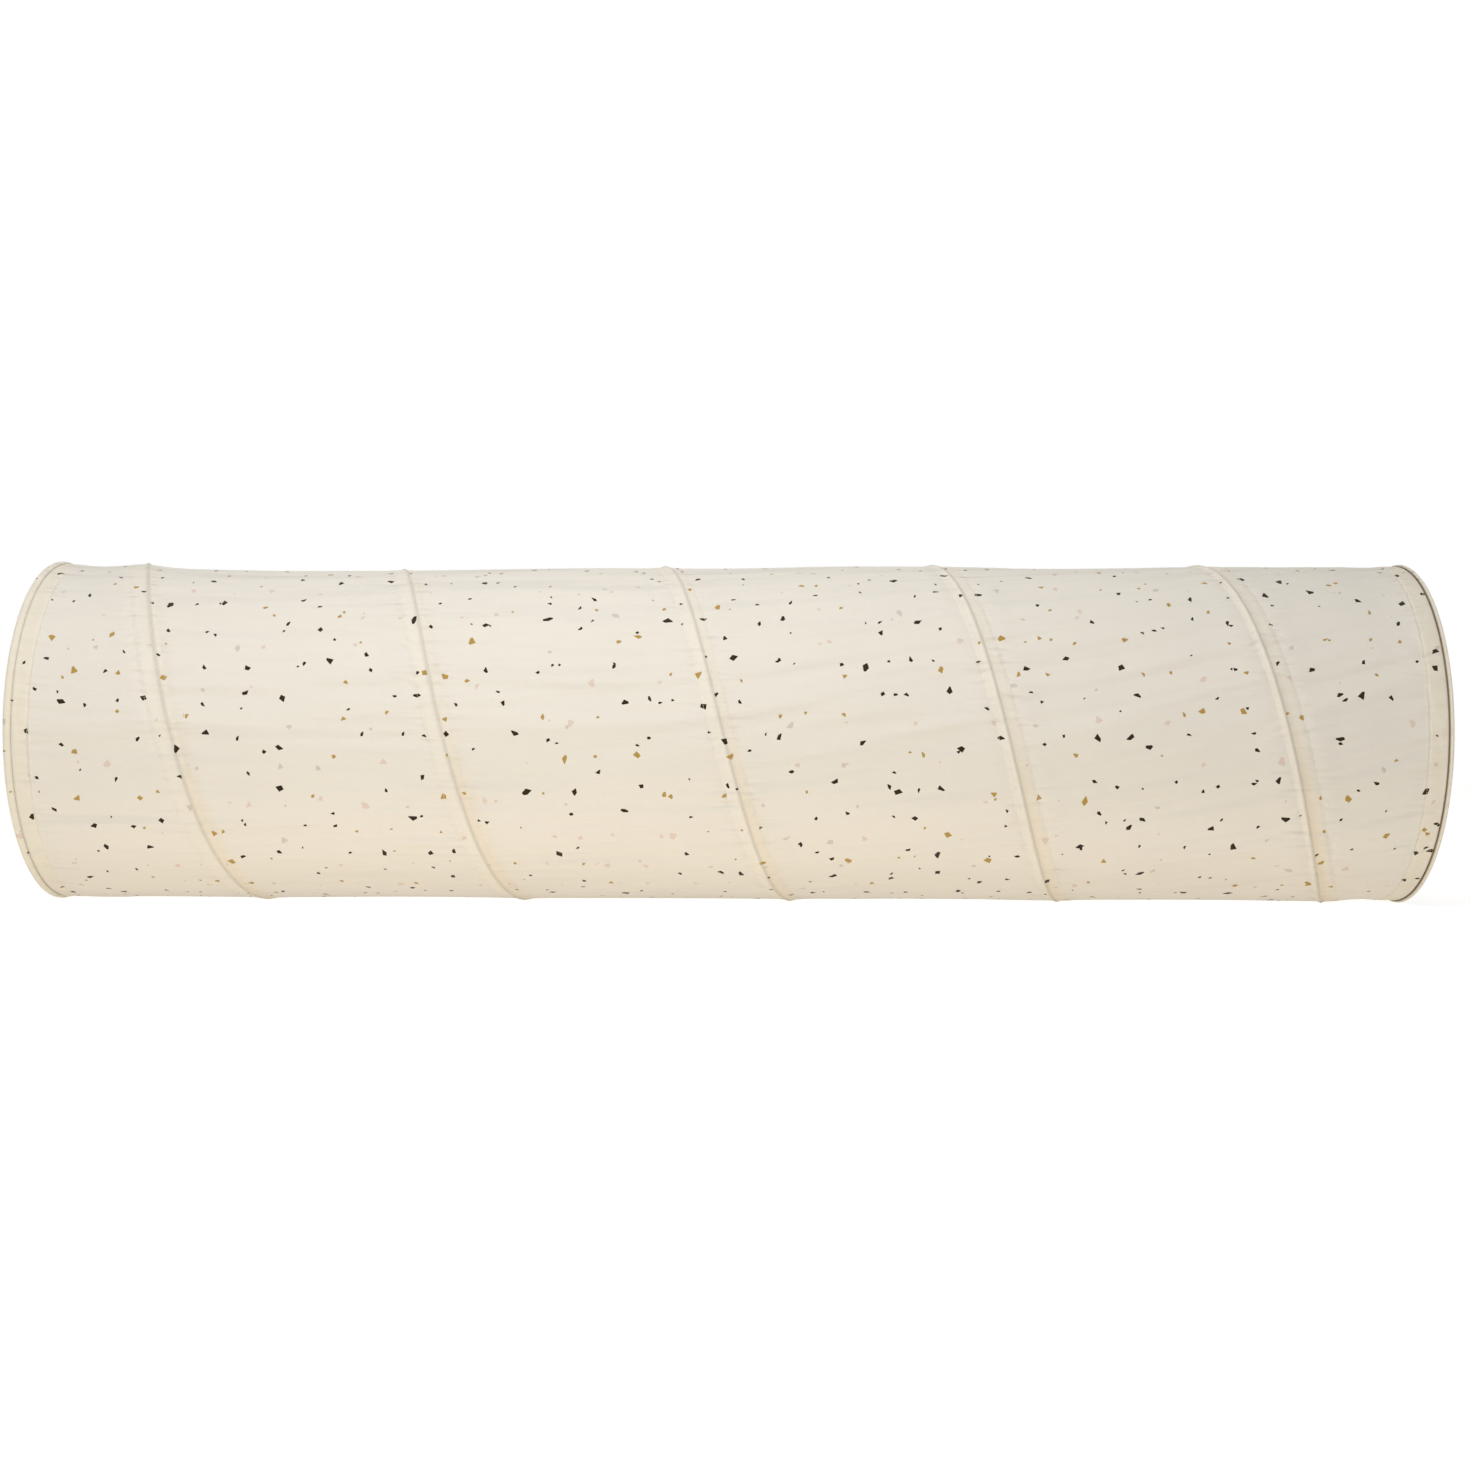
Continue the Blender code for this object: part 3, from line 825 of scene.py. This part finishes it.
def makeBarrel():
    perTurn = barrel["columnsPerTurn"]
    first = math.floor((turnAt(-cloth["hemSeam"]) - 1) * perTurn) - barrel["spareColumns"]
    last = math.ceil(turnAt(cloth["hemSeam"]) * perTurn) + barrel["spareColumns"]
    rows = [barrelRows((first + column) / perTurn) for column in range(last - first + 1)]

    def place(column, row):
        turn = (first + column) / perTurn
        angle = fullTurn * (turn % 1)
        x = rows[column][row]
        return clothPoint(x, angle), x, angle

    def printAt(column, row, faceColumn):
        wraps = math.floor((first + faceColumn + 0.5) / perTurn - cloth["seamShare"])
        return rows[column][row], ((first + column) / perTurn - cloth["seamShare"] - wraps) * circumference

    # the ridge's attribute and the warm band's attribute carry painted shade and painted light
    bm = sheetMesh(last - first, len(rows[0]) - 1, place, printAt,
                   doubled=inChannel, ridged=paintedRidgeShading, warmed=warmShadeBesideRidge)
    for sign in signs.values():
        for inset in barrel["lipInsets"]:
            near = []
            for face in bm.faces:
                if sign * face.calc_center_median().x > cloth["hemSeam"] - barrel["cutZone"]:
                    near.append(face)
            around = {part for face in near for part in (*face.verts, *face.edges)}
            bmesh.ops.bisect_plane(bm, geom=[*near, *around], dist=weld, plane_no=(sign, 0, 0),
                                   plane_co=(sign * (cadHigh.x - inset), 0, 0), clear_outer=False)
        bmesh.ops.bisect_plane(bm, geom=bm.verts[:] + bm.edges[:] + bm.faces[:], dist=weld,
                               plane_no=(sign, 0, 0), plane_co=(sign * cloth["hemSeam"], 0, 0),
                               clear_outer=True)
    for vert in bm.verts:
        x = vert.co.x
        if abs(x) > cloth["hemSeam"] - barrel["trueZone"]:
            vert.co = clothPoint(x, math.atan2(-vert.co.y, vert.co.z - middleHeight(x)) % fullTurn)
    faceAway(bm, middleLine)
    piece = addPiece("cloth_barrel", bm, [printed, reverse], cloth["wall"])
    squashed(piece)
    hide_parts("shell")
    2 * cloth["hemSeam"]
    print(f"barrel: {len(piece.data.polygons)} faces")


makeBarrel()

# Each end: the hem's outer layer, the roll over the hoop and the hem's inner layer are one cloth turned in
ends = {
    "columns": 288,
    "ringRadius": 0.2237,          # of the hoop's wire
    "hoopShare": 0.42,             # of the roll's length, from its outer end to the hoop
    "creaseInset": {"left": 0.0098, "right": 0.0058},
    "creaseDepth": {"left": 0.0006, "right": 0.0020},
    "creaseWidth": {"left": 0.0018, "right": 0.0010},
    # share of the painted shadow in each end's crease
    "creaseShade": {"left": 0.13, "right": 0.95},
    "neckStep": 0.0007,            # of both layers from the hoop's radius, at the crease
    "neckLength": 0.0054,
    "bandInsets": (0.031, 0.0306, 0.0300, 0.0295, 0.0290, 0.0283, 0.027, 0.024, 0.020, 0.016, 0.0131),
    "creaseSteps": (0.0030, 0.0021, 0.0014, 0.0009, 0.0005, 0.0002, 0),
    "rollPastCrease": 0.0008,
    "rollHeight": 0.0043,
    "rollSteps": 22,
    "rollOpening": 0.6,            # radians of the drop's curve left open at the crease
    "rollWall": 0.8 * cloth["wall"],
    "plump": (0.05, 5, 9),         # share, start and pace of the roll's uneven height
    "sway": (0.0003, 3, 5),        # height, start and pace of its stray from a true ring
    "liningWall": 0.0006,
    "layerGap": 0.0001,
    "rimStitchInset": {"left": 0.0118, "right": 0.0098},
}


def endAngle(column):
    return fullTurn * (cloth["seamShare"] + column / ends["columns"])


def creaseNear(side, inset):
    return math.exp(-((inset - ends["creaseInset"][side]) / ends["creaseWidth"][side]) ** 2)


def creaseFall(side, inset):
    return ends["creaseDepth"][side] * creaseNear(side, inset)


def rollLength(side):
    return ends["creaseInset"][side] + ends["rollPastCrease"]


def hoopInset(side):
    return rollLength(side) * ends["hoopShare"]


def pastNeck(side, inset):             # 0 at the crease and 1 where the cloth has its full radius
    crease = ends["creaseInset"][side]
    return smoothStep(inset, crease, crease + ends["neckLength"])


def bandRadius(side, inset, angle):    # outer face of the hem's outer layer
    neck = ends["ringRadius"] + ends["neckStep"]
    full = clothRadius(signs[side] * (cadHigh.x - inset), angle)
    return neck + (full - neck) * pastNeck(side, inset) - creaseFall(side, inset)


def liningRadius(side, inset, angle):  # outer face of the hem's inner layer
    neck = ends["ringRadius"] - ends["neckStep"]
    under = cloth["wall"] + ends["liningWall"] + ends["layerGap"]
    full = bandRadius(side, inset, angle) + creaseFall(side, inset) - under
    return neck + (full - neck) * pastNeck(side, inset)


def rollPoint(side, step, angle):      # inset and radius on the roll's outer face
    opening = ends["rollOpening"]
    spot = opening + (fullTurn - 2 * opening) * step / ends["rollSteps"]
    share, start, pace = ends["plump"]
    plump = 1 + share * roundNoise(signs[side] * start, pace, angle)
    height, start, pace = ends["sway"]
    sway = height * roundNoise(signs[side] * start, pace, angle)
    inset = rollLength(side) / 2 * (1 + math.cos(spot))
    out = ends["rollHeight"] * plump * math.sin(spot) * math.sin(spot / 2)
    return inset, ends["ringRadius"] + out + sway


def arcLengths(points):
    total = 0
    lengths = [0]
    for here, there in zip(points, points[1:]):
        total += math.dist(here, there)
        lengths.append(total)
    return lengths


def ringSheet(side, profileAt, startPrint):
    # A ring of cloth whose rows follow a list of (inset, radius) by angle, outer edge first
    lengths = arcLengths(profileAt(0))
    count = ends["columns"]
    rings = [profileAt(endAngle(column % count)) for column in range(count + 1)]

    def place(column, row):
        inset, radius = rings[column][row]
        angle = endAngle(column)
        x = signs[side] * (cadHigh.x - inset)
        return ringPoint(x, angle, radius, middleHeight(x)), x, angle

    def printAt(column, row, faceColumn):
        return signs[side] * (startPrint + lengths[row]), column / count * circumference

    # painted shadow, darkest at the bottom of the crease
    def creased(x, angle):
        return ends["creaseShade"][side] * creaseNear(side, cadHigh.x - abs(x))

    return sheetMesh(count, len(lengths) - 1, place, printAt, creased=creased), lengths[-1]


def makeEnd(side):
    hoopX = signs[side] * (cadHigh.x - hoopInset(side))
    crease = ends["creaseInset"][side]
    insets = [inset for inset in ends["bandInsets"] if inset > crease + ends["creaseSteps"][0]]
    insets += [crease + step for step in ends["creaseSteps"]]

    def bandProfile(angle):
        return [(inset, bandRadius(side, inset, angle)) for inset in insets]

    def rollProfile(angle):
        return [rollPoint(side, step, angle) for step in range(ends["rollSteps"] + 1)]

    def liningProfile(angle):
        return [(inset, liningRadius(side, inset, angle)) for inset in reversed(insets)]

    def hoopLine(point):               # nearest point of the hoop's middle line
        spoke = Vector((0, point.y, point.z - cloth["rimHeight"])).normalized()
        return Vector((hoopX, 0, cloth["rimHeight"])) + spoke * ends["ringRadius"]

    layers = (
        ("hem_band", bandProfile, middleLine, cloth["wall"], "shell", "printed_cloth"),
        ("rim_roll", rollProfile, hoopLine, ends["rollWall"], f"{side}_rim_binding", "hem_cloth"),
        ("hem_lining", liningProfile, middleLine, ends["liningWall"], f"{side}_hem_facing", "hem_cloth"),
    )
    laidOut = cloth["hemSeam"]         # length of print used up, from the tunnel's middle
    for name, profileAt, centreAt, wall, node, slot in layers:
        bm, length = ringSheet(side, profileAt, laidOut)
        faceAway(bm, centreAt)
        if name == "hem_lining":       # its print faces in
            bmesh.ops.reverse_faces(bm, faces=bm.faces)
        piece = addPiece(f"{side}_{name}", bm, [printed, reverse], wall)
        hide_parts(node)
        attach(piece, f"{side}_end")
        laidOut += length
    print(f"{side} end: band, roll and lining made")


for side in signs:
    makeEnd(side)

# Steel: the spiral wire, the hoops with their crimped sleeves, and the wire's dipped tips
wire = {
    "radius": 0.0013,
    "stepsPerTurn": 96,
    "sides": 8,
    "under": 0.00025,              # room between the wire and the cloth over it
    "tipLength": 0.0078,
    "tipRadius": 0.00145,
    "tipStart": 0.04,              # share of its length by which the tip stands off the wire's end
    "tipNose": 0.28,               # share that is rounded off
    "tipBlunt": 0.02,
    "tipSteps": 14,
    "tipSides": 12,
}
hoop = {
    "radius": 0.0015,
    "sides": 10,
    "steps": 240,
    "gap": 0.001,
    "sleeveLength": 0.03,
    "sleeveRadius": 0.0021,
    "sleeveSteps": 60,
    "sleeveSides": 16,
    "bites": (0.22, 0.4, 0.6, 0.78),   # where the sleeve is crimped, as shares of its length
    "biteWidth": 0.045,
    "biteDepth": 0.00035,
    "lips": (0.02, 0.98),
    "lipWidth": 0.02,
    "lipHeight": 0.00012,
}


def wireRadius(x, angle):
    return hullRadius(x, angle) + cloth["ridge"] - cloth["wall"] - wire["under"] - wire["radius"]


def wirePoint(turn):
    x, angle = wireCourse(turn), fullTurn * turn
    point = ringPoint(x, angle, wireRadius(x, angle), middleHeight(x))
    point.z = max(point.z, wire["radius"] + cloth["wall"])
    return point


def makeWire():
    steps = round(wireTurns * wire["stepsPerTurn"])
    bm = tubeMesh(steps, wire["sides"], lambda share: wirePoint(wireStart + wireTurns * share),
                  lambda share: wire["radius"])
    piece = addPiece("round_wire", bm, [steel])
    squashed(piece)
    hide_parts("spiral_wire")
    print("wire made")


def makeTip(side, turn):
    reach = signs[side] * wire["tipLength"] / math.hypot(circumference, winding["pitch"])

    def tipRadius(share):
        nose = max(share - (1 - wire["tipNose"]), 0) / wire["tipNose"]
        return wire["tipRadius"] * math.sqrt(max(1 - nose ** 2, wire["tipBlunt"]))

    bm = tubeMesh(wire["tipSteps"], wire["tipSides"],
                  lambda share: wirePoint(turn + reach * (share + wire["tipStart"])), tipRadius)
    tip = addPiece(f"{side}_dipped_tip", bm, [plastic])
    squashed(tip, side)
    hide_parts(f"{side}_wire_tip")


def sleeveRadius(share):
    bite = sum(bell(share - middle, hoop["biteWidth"]) for middle in hoop["bites"])
    lip = sum(bell(share - middle, hoop["lipWidth"]) for middle in hoop["lips"])
    return hoop["sleeveRadius"] + hoop["lipHeight"] * lip - hoop["biteDepth"] * bite


def makeHoop(side):
    x = signs[side] * (cadHigh.x - hoopInset(side))
    ring = ends["ringRadius"]
    gap = hoop["gap"]

    def onHoop(past):                  # the place a length past the hoop's lowest point
        point = ringPoint(x, math.pi + past / ring, ring, cloth["rimHeight"])
        point.z = max(point.z, hoop["radius"] + ends["rollWall"])
        return point

    bm = tubeMesh(hoop["steps"], hoop["sides"],
                  lambda share: onHoop(gap / 2 + (fullTurn * ring - gap) * share),
                  lambda share: hoop["radius"])
    bar = addPiece(f"{side}_round_hoop", bm, [steel])
    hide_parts(f"{side}_hoop")
    bm = tubeMesh(hoop["sleeveSteps"], hoop["sleeveSides"],
                  lambda share: onHoop(hoop["sleeveLength"] * (share - 0.5)), sleeveRadius)
    sleeve = addPiece(f"{side}_crimp", bm, [crimp])
    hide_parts(f"{side}_hoop_sleeve")
    for piece in (bar, sleeve):
        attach(piece, f"{side}_end")
    print(f"{side} hoop made")


makeWire()
makeTip("left", wireStart)
makeTip("right", wireFinish)
for side in signs:
    makeHoop(side)

# The casing tape inside the barrel, which carries the wire
casing = {
    "wall": 0.0005,
    "gap": 0.00015,
    "rows": 14,
    "stepsPerTurn": 144,
    "endRoom": 0.0006,             # to the hem seam
    "wireGap": 0.0001,
    "hugWidth": 0.004,             # of the tape round the wire
    "hugPower": 2.4,
}


def tapeRadius(x, angle, turn):
    gap = x - wireCourse(turn)
    radius = clothRadius(x, angle) - crest(gap) - cloth["wall"] - casing["gap"]
    under = wireRadius(x, angle) - wire["radius"] - casing["wireGap"]
    if radius > under:
        radius -= (radius - under) * math.exp(-abs(gap / casing["hugWidth"]) ** casing["hugPower"])
    return radius


def makeTape():
    steps = round(wireTurns * casing["stepsPerTurn"])
    half = winding["casingWidth"] / 2
    limit = cloth["hemSeam"] - casing["endRoom"]

    def turnOf(column):
        return wireStart + wireTurns * column / steps

    def place(column, row):
        turn = turnOf(column)
        angle = fullTurn * (turn % 1)
        x = casingMiddle(turn) + half * (2 * row / casing["rows"] - 1)
        x = min(max(x, -limit), limit)
        return ringPoint(x, angle, tapeRadius(x, angle, turn), middleHeight(x)), x, angle

    def printAt(column, row, faceColumn):
        return turnOf(column) * circumference, row / casing["rows"] * 2 * half

    bm = sheetMesh(steps, casing["rows"], place, printAt)
    faceAway(bm, middleLine)
    piece = addPiece("spiral_tape", bm, [tape], casing["wall"])
    squashed(piece)
    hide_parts("spiral_casing")
    print("casing tape made")


makeTape()

# Stitches, one by one
stitch = {
    "pitch": 0.0032,
    "length": 0.0027,
    "width": 0.00055,
    "height": 0.0004,
    "slant": 0.10,
    "slantSpread": 0.05,
    "wobble": 0.00012,
    "proud": 0.00008,              # of the middle of the thread over the cloth's face
    "endRoom": 0.001,              # to the hem seam
    "ahead": 0.0004,               # share of a row, over which its direction is read
    "steps": 4,
    "sides": 6,
}
chance = random.Random(7)


def sewn(rows):                        # rows of (count, pointAt), which gives place, way on and way out
    laid = []
    for count, pointAt in rows:
        for number in range(count):
            point, onward, out = pointAt((number + 0.5) / count)
            side = onward.cross(out).normalized()
            slant = stitch["slant"] + chance.uniform(-stitch["slantSpread"], stitch["slantSpread"])
            heading = (onward + side * slant).normalized()
            side = heading.cross(out).normalized()
            laid.append((point + side * chance.uniform(-1, 1) * stitch["wobble"], heading, side, out))
    steps = stitch["steps"]
    columns = len(laid) * (steps + 1) - 1
    bm = bmesh.new()
    bmesh.ops.create_grid(bm, x_segments=columns, y_segments=stitch["sides"], size=1)
    gaps = []
    for face in bm.faces:
        if int((face.calc_center_median().x + 1) / 2 * columns) % (steps + 1) == steps:
            gaps.append(face)
    bmesh.ops.delete(bm, geom=gaps, context="FACES_ONLY")
    for vert in bm.verts:
        number, step = divmod(round((vert.co.x + 1) / 2 * columns), steps + 1)
        angle = (vert.co.y + 1) * math.pi
        point, heading, side, out = laid[number]
        along = -math.cos(math.pi * step / steps) * stitch["length"] / 2
        girth = math.sin(math.pi * step / steps) / 2
        vert.co = (point + heading * along + side * math.cos(angle) * girth * stitch["width"]
                   + out * math.sin(angle) * girth * stitch["height"])
    bmesh.ops.delete(bm, geom=[edge for edge in bm.edges if not edge.link_faces], context="EDGES")
    bmesh.ops.remove_doubles(bm, verts=bm.verts, dist=weld)
    bmesh.ops.recalc_face_normals(bm, faces=bm.faces)
    return bm


def onCloth(xAt, angleAt, outAt):      # a row of stitches along a line on the cloth
    def placeAt(share):
        x, angle = xAt(share), angleAt(share)
        return ringPoint(x, angle, outAt(x, angle), middleHeight(x))

    def pointAt(share):
        angle = angleAt(share)
        point = placeAt(share)
        point.z = max(point.z, stitch["height"] / 2)
        onward = (placeAt(share + stitch["ahead"]) - point).normalized()
        return point, onward, Vector((0, -math.sin(angle), math.cos(angle)))
    return pointAt


def addStitches(name, rows):
    piece = addPiece(name, sewn(rows), [thread])
    return piece


def makeCasingStitches(side):
    count = round(wireLength / stitch["pitch"])
    limit = cloth["hemSeam"] - stitch["endRoom"]
    under = -cloth["wall"] - casing["gap"] - casing["wall"] - stitch["proud"]

    def xAt(share):
        x = casingMiddle(wireStart + wireTurns * share) + signs[side] * winding["seamOffset"]
        return min(max(x, -limit), limit)

    def angleAt(share):
        return fullTurn * (wireStart + wireTurns * share)

    rows = [(count, onCloth(xAt, angleAt, lambda x, angle, out=out: clothRadius(x, angle) + out))
            for out in (stitch["proud"], under)]
    piece = addStitches(f"casing_stitches_{side}", rows)
    squashed(piece)
    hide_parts(f"casing_stitching_{side}")


def makeEndStitches(side):
    count = round(circumference / stitch["pitch"])
    under = -cloth["wall"] - ends["liningWall"] - ends["layerGap"] - stitch["proud"]
    for row, inset in (("rim", ends["rimStitchInset"][side]), ("hem", cloth["hemStitchInset"])):
        x = signs[side] * (cadHigh.x - inset)
        rows = [(count, onCloth(lambda share: x, lambda share: fullTurn * share,
                                lambda x, angle, out=out: bandRadius(side, inset, angle) + out))
                for out in (stitch["proud"], under)]
        piece = addStitches(f"{side}_{row}_stitches", rows)
        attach(piece, f"{side}_end")
        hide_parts(f"{side}_{row}_stitching")


for side in signs:
    makeCasingStitches(side)
for side in signs:
    makeEndStitches(side)
print("stitches made")

# The lengthwise seam, low on the far side: the cloth's two edges folded together and sewn down
seam = {
    "width": 0.0106,
    "wall": 0.0006,
    "lift": 0.00005,               # off the barrel
    "rise": 0.0008,
    "edgePower": 4,
    "columns": 1100,
    "rows": 8,
    "printStart": 0.31,
    "stitchOffset": 0.003,
    "stitchLift": 0.9,             # share of the rise
}


def makeLengthwiseSeam():
    middle = fullTurn * cloth["seamShare"]
    half = seam["width"] / 2

    def xOf(share):
        return cloth["hemSeam"] * (2 * share - 1)

    def place(column, row):
        x = xOf(column / seam["columns"])
        across = 2 * row / seam["rows"] - 1
        angle = middle + half * across / cloth["printRadius"]
        out = seam["lift"] + seam["rise"] * (1 - abs(across) ** seam["edgePower"])
        return clothPoint(x, angle, out), x, angle

    def printAt(column, row, faceColumn):
        return xOf(column / seam["columns"]), seam["printStart"] + row / seam["rows"] * seam["width"]

    bm = sheetMesh(seam["columns"], seam["rows"], place, printAt)
    faceAway(bm, middleLine)
    piece = addPiece("lengthwise_seam", bm, [printed, reverse], seam["wall"])
    squashed(piece)
    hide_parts("shell")
    2 * cloth["hemSeam"]

    count = round(2 * cloth["hemSeam"] / stitch["pitch"])
    rows = [(count, onCloth(xOf, lambda share, offset=offset: middle + offset / cloth["printRadius"],
                            lambda x, angle, out=out: clothRadius(x, angle) + out))
            for offset in (-seam["stitchOffset"], seam["stitchOffset"])
            for out in (seam["rise"] * seam["stitchLift"], -cloth["wall"] - stitch["proud"])]
    squashed(addStitches("lengthwise_stitches", rows))


makeLengthwiseSeam()
print("lengthwise seam made")

# The studio
studio = {
    "cameraDistance": 2.68,
    "cameraX": 0.0260,
    "cameraHeight": 0.2223,
    "heading": 0.37,               # degrees, the right end being the nearer
    "roll": 0.173,
    "lens": 48.52,
    "sensor": 36,
    "floorHeight": -0.0004,
    "floorSize": 16,
    "floorColour": srgb(236, 226, 210),
    "white": (1, 1, 1, 1),
    "paperGlow": 0.78,
    "paperShade": srgb(205, 203, 200),
    "bounce": 0.355,               # light that the floor throws up under the tunnel
    "bounceColour": (0.98, 1.03, 1.07, 1),
    "worldStrength": 0.36,
    "lamps": {                     # place, aim, width and depth, power and colour
        "key": ((-0.35, -1.6, 1.1), (-0.25, 0, 0.2), (0.9, 0.7), 8.3, (1.0, 1.02, 1.04)),
        "top": ((-0.2, -0.6, 2.0), (-0.2, -0.1, 0.4), (2.2, 0.7), 13.3, (1.0, 1.0, 0.99)),
    },
}


def makeFloor():                   # matt paper that the camera sees as white, darker only where it is shaded
    paper = Finish("floor_paper", Base_Color=studio["floorColour"], Roughness=0.9, Specular_IOR_Level=0.1)
    white = paper.glow("ShaderNodeEmission", studio["white"], studio["paperGlow"])
    shaded = paper.node("ShaderNodeBsdfDiffuse", {}, {"Color": studio["paperShade"]})
    seen = paper.node("ShaderNodeAddShader", {}, {0: white, 1: shaded})
    bounce = paper.glow("ShaderNodeEmission", studio["bounceColour"], studio["bounce"])
    lit = paper.node("ShaderNodeAddShader", {}, {0: Flow(paper, paper.shader.outputs[0]), 1: bounce})
    paper.toCamera(lit, seen, "Material Output")
    bm = bmesh.new()
    bmesh.ops.create_grid(bm, x_segments=1, y_segments=1, size=studio["floorSize"] / 2)
    piece = addPiece("floor", bm, [paper.material])
    piece.location.z = studio["floorHeight"]


def makeWorld():
    world = bpy.data.worlds.new("studio")
    bpy.context.scene.world = world
    world.use_nodes = True
    sky = Wiring(world.node_tree)
    sky.tree.nodes.remove(sky.tree.nodes["Background"])
    light = sky.glow("ShaderNodeBackground", studio["white"], studio["worldStrength"])
    white = sky.glow("ShaderNodeBackground", studio["white"], 1)
    sky.toCamera(light, white, "World Output")


def addLamp(name, place, aim, size, power, colour):
    lamp = bpy.data.lights.new(name, "AREA")
    lamp.shape = "RECTANGLE"
    lamp.size, lamp.size_y = size
    lamp.energy = power
    lamp.color = colour
    holder = bpy.data.objects.new(name, lamp)
    bpy.context.scene.collection.objects.link(holder)
    holder.visible_camera = False
    holder.location = place
    holder.rotation_euler = (Vector(aim) - Vector(place)).to_track_quat("-Z", "Y").to_euler()


def makeCamera():
    scene = bpy.context.scene
    camera = bpy.data.cameras.new("camera")
    camera.lens = studio["lens"]
    camera.sensor_width = studio["sensor"]
    holder = bpy.data.objects.new("camera", camera)
    scene.collection.objects.link(holder)
    holder.location = (studio["cameraX"], -studio["cameraDistance"], studio["cameraHeight"])
    look = Matrix.Rotation(math.radians(studio["heading"]), 4, "Z") @ Matrix.Rotation(math.pi / 2, 4, "X")
    holder.rotation_euler = (look @ Matrix.Rotation(math.radians(studio["roll"]), 4, "Z")).to_euler()
    scene.camera = holder
    scene.view_settings.view_transform = "Standard"


makeFloor()
makeWorld()
for name, lamp in studio["lamps"].items():
    addLamp(name, *lamp)
makeCamera()
print("studio made")
